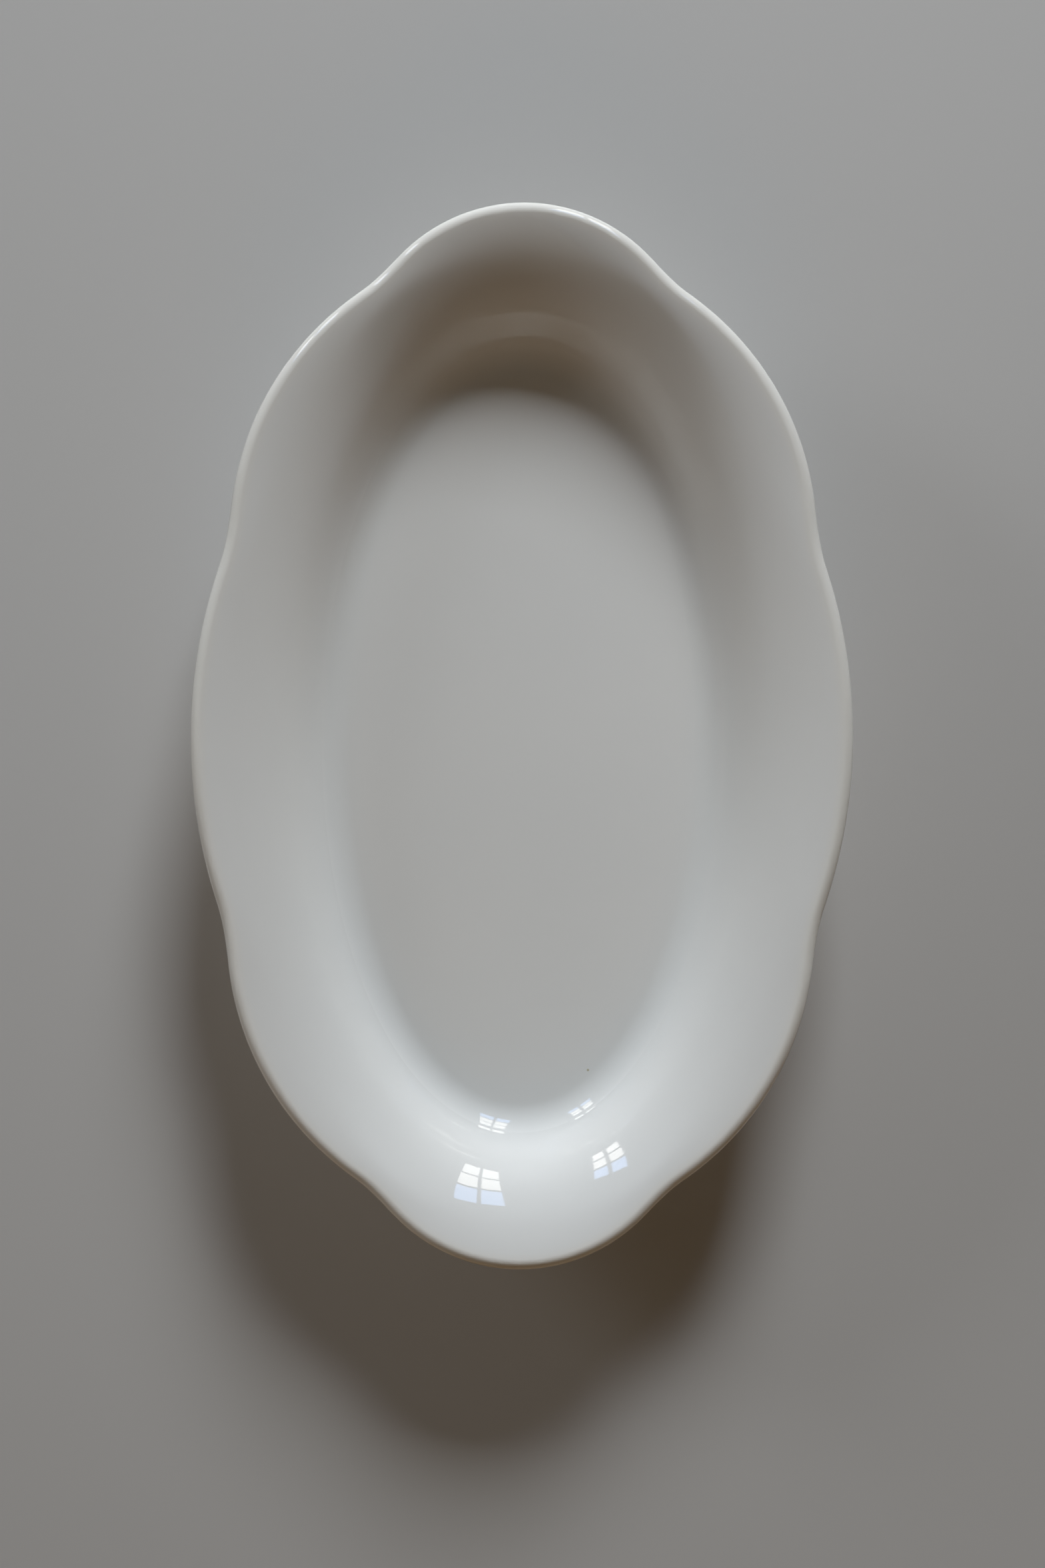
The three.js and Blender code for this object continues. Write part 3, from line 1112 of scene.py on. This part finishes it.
@dataclass(frozen=True)
class PanedLight:
    """A soft light of one pane, or of several with bars between them.

    Attributes:
        azimuth: degrees from +Y towards +X.
        elevation: degrees of its middle over the horizon.
        watts: the power of all its panes.
        colours: the colour of each row of panes, from the lowest up.
        columns: the number of panes in each row.
        mirrored: whether it only shows mirrored in gloss, or else only lights the surfaces.
        bar: the width of the bars.
        distance: from the origin to its middle.
        spread: degrees across the beam of a light that isn't mirrored.
    """

    name: str
    azimuth: float
    elevation: float
    width: float
    height: float
    watts: float
    colours: tuple[Colour, ...]
    columns: int = 1
    mirrored: bool = False
    bar: float = 0.045
    distance: float = 1.8
    spread: float = 70

    def towards(self) -> Vector:
        """The direction from the dish to the light's middle."""
        across, up = math.radians(self.azimuth), math.radians(self.elevation)
        return Vector((math.sin(across) * math.cos(up), math.cos(across) * math.cos(up), math.sin(up)))

    def build(self) -> None:
        """Makes a lamp for each pane, facing the dish."""
        rows = len(self.colours)
        across = (self.width + self.bar) / self.columns
        up = (self.height + self.bar) / rows
        turn = self.towards().to_track_quat("Z", "Y")
        for row, colour in enumerate(self.colours):
            for column in range(self.columns):
                data = bpy.data.lights.new(f"{self.name}_{row}_{column}", "AREA")
                data.shape = "RECTANGLE"
                data.size, data.size_y = across - self.bar, up - self.bar
                data.energy = self.watts / (rows * self.columns)
                data.color = colour
                data.spread = math.pi if self.mirrored else math.radians(self.spread)
                pane = bpy.data.objects.new(data.name, data)
                offset = Vector(((column - (self.columns - 1) / 2) * across, (row - (rows - 1) / 2) * up, 0))
                pane.location = self.towards() * self.distance + turn @ offset
                pane.rotation_euler = turn.to_euler()
                pane.visible_glossy = self.mirrored
                pane.visible_diffuse = not self.mirrored
                bpy.context.scene.collection.objects.link(pane)


@dataclass(frozen=True)
class Studio:
    """The pale floor, the lights and the world around the dish.

    Attributes:
        fade_start: how far from the dish the floor starts to fade into the backdrop.
        fade_end: how far from the dish it has faded.
        fill: strength of the world's light on the surfaces.
        backdrop: strength at which the camera and reflections see the world.
    """

    COOL: ClassVar[Colour] = (0.875, 0.935, 1.0)
    DAY: ClassVar[Colour] = (1.0, 0.99, 0.95)
    SKY: ClassVar[Colour] = (0.38, 0.56, 0.92)
    WARM: ClassVar[Colour] = (1.0, 0.52, 0.12)

    floor_colour: Colour = (0.60, 0.585, 0.565)
    floor_half: float = 6.0
    floor_roughness: float = 0.75
    fade_start: float = 0.3
    fade_end: float = 1.3
    fill_colour: Colour = (1.0, 0.84, 0.6)
    fill: float = 0.045
    backdrop_colour: Colour = (0.97, 0.98, 1.0)
    backdrop: float = 0.24
    lights: tuple[PanedLight, ...] = (
        PanedLight(
            "key_light", azimuth=10, elevation=25.5, width=0.6, height=0.5, watts=4.5, colours=(COOL,)
        ),
        PanedLight(
            "side_light", azimuth=-60, elevation=18, width=0.6, height=0.45, watts=1, colours=(COOL,)
        ),
        PanedLight(
            "warm_light", azimuth=180, elevation=25, width=1.0, height=0.6, watts=0.36, colours=(WARM,)
        ),
        PanedLight(
            "right_panes", azimuth=17, elevation=31, width=0.48, height=1.1, watts=9.5,
            colours=(DAY, DAY, SKY), columns=2, mirrored=True,
        ),
        PanedLight(
            "left_panes", azimuth=-38, elevation=26, width=0.31, height=0.7, watts=4,
            colours=(DAY, DAY, SKY), columns=2, mirrored=True,
        ),
    )

    def build(self) -> None:
        """Makes the floor, the lights and the world."""
        self.build_floor()
        for light in self.lights:
            light.build()
        self.build_world()

    def build_floor(self) -> None:
        """A level pale floor at the standing plane, which fades into the backdrop."""
        half = self.floor_half
        mesh = bpy.data.meshes.new("pale_floor")
        corners = [(-half, -half, 0), (half, -half, 0), (half, half, 0), (-half, half, 0)]
        mesh.from_pydata(corners, [], [range(4)])
        floor = bpy.data.objects.new("pale_floor", mesh)
        bpy.context.scene.collection.objects.link(floor)
        material, sheet, shader = new_material("pale_floor")
        shader.inputs["Base Color"].default_value = with_alpha(self.floor_colour)
        shader.inputs["Roughness"].default_value = self.floor_roughness
        away = sheet.distance(sheet.place(), (0.0, 0.0, 0.0))
        fading = sheet.ranged(away, self.fade_start, self.fade_end, 0.0, 1.0)
        far = sheet.node(
            "ShaderNodeEmission", {"Color": with_alpha(self.backdrop_colour), "Strength": self.backdrop}
        )
        sheet.show(sheet.math("MULTIPLY", fading, sheet.seen()), shader, far)
        mesh.materials.append(material)

    def build_world(self) -> None:
        """A soft fill, behind which the camera and reflections see a pale backdrop."""
        world = bpy.data.worlds.new("soft_fill")
        world.use_nodes = True
        world.node_tree.nodes.clear()
        sheet = Sheet(world.node_tree)
        sheet.node("ShaderNodeOutputWorld")
        fill, backdrop = (
            sheet.node("ShaderNodeBackground", {"Color": with_alpha(colour), "Strength": strength})
            for colour, strength in (
                (self.fill_colour, self.fill),
                (self.backdrop_colour, self.backdrop),
            )
        )
        sheet.show(sheet.seen(), fill, backdrop)
        bpy.context.scene.world = world


@dataclass(frozen=True)
class PhotoCamera:
    """The camera straight over the dish, framed as in the photograph.

    Attributes:
        image_centre: the middle of the photograph, in its pixels.
        image_height: its height in pixels.
        dish_centre: the middle of the rim in the photograph, in pixels.
        dish_turn: degrees that the dish is turned clockwise there.
        rim_pixels: the length of the rim there.
        lens: focal length in millimetres on a sensor that is as long as the picture is high.
    """

    image_centre: tuple[float, float] = (784.0, 1176.0)
    image_height: float = 2352.0
    dish_centre: tuple[float, float] = (783.0, 1104.0)
    dish_turn: float = 0.38
    rim_pixels: float = 1601.0
    lens: float = 45.0
    sensor: float = 36.0

    def build(self, sizes: DishSizes) -> bpy.types.Object:
        """Makes the camera.

        Args:
            sizes: the dish's sizes, from which its distance follows.

        Returns:
            The camera.
        """
        data = bpy.data.cameras.new("photo_camera")
        data.lens = self.lens
        data.sensor_width = self.sensor
        camera = bpy.data.objects.new("photo_camera", data)
        pixel = sizes.rim_length / self.rim_pixels
        distance = self.lens / self.sensor * self.image_height * pixel
        place = Vector(
            (
                (self.image_centre[0] - self.dish_centre[0]) * pixel,
                (self.dish_centre[1] - self.image_centre[1]) * pixel,
                sizes.height - sizes.wall_thickness / 2 + distance,
            )
        )
        turn = Euler((0, 0, math.radians(self.dish_turn)))
        place.rotate(turn)
        camera.location = place
        camera.rotation_euler = turn
        bpy.context.scene.collection.objects.link(camera)
        bpy.context.scene.camera = camera
        return camera


def main() -> None:
    """Builds the pieces, the stage and the camera."""
    logging.basicConfig(level=logging.INFO, format="%(name)s: %(message)s")
    bpy.context.scene.view_settings.view_transform = "Standard"
    sizes = DishSizes.from_frame()
    PhotoCamera().build(sizes)
    Studio().build()
    effects = Effects()
    finishes = (GlazeFinish(), ClayFinish(Slot.FIRED_CLAY), ClayFinish(Slot.BARE_FOOT))
    materials = {finish.slot: finish.material(effects) for finish in finishes}
    outline, section, hidden = ScallopedOutline(sizes), Section(sizes), Section(sizes, HIDDEN_DETAIL)
    for kind in (ClayBody, FootRing, GlazeCoat, UndersideGlaze):
        maker = kind(sizes, outline, section, hidden)
        piece = maker.build()
        maker.dress(piece, materials)
        LOG.info("%s stands for %s with %d faces", piece.name, maker.node, len(piece.data.polygons))


if __name__ == "__main__":
    main()
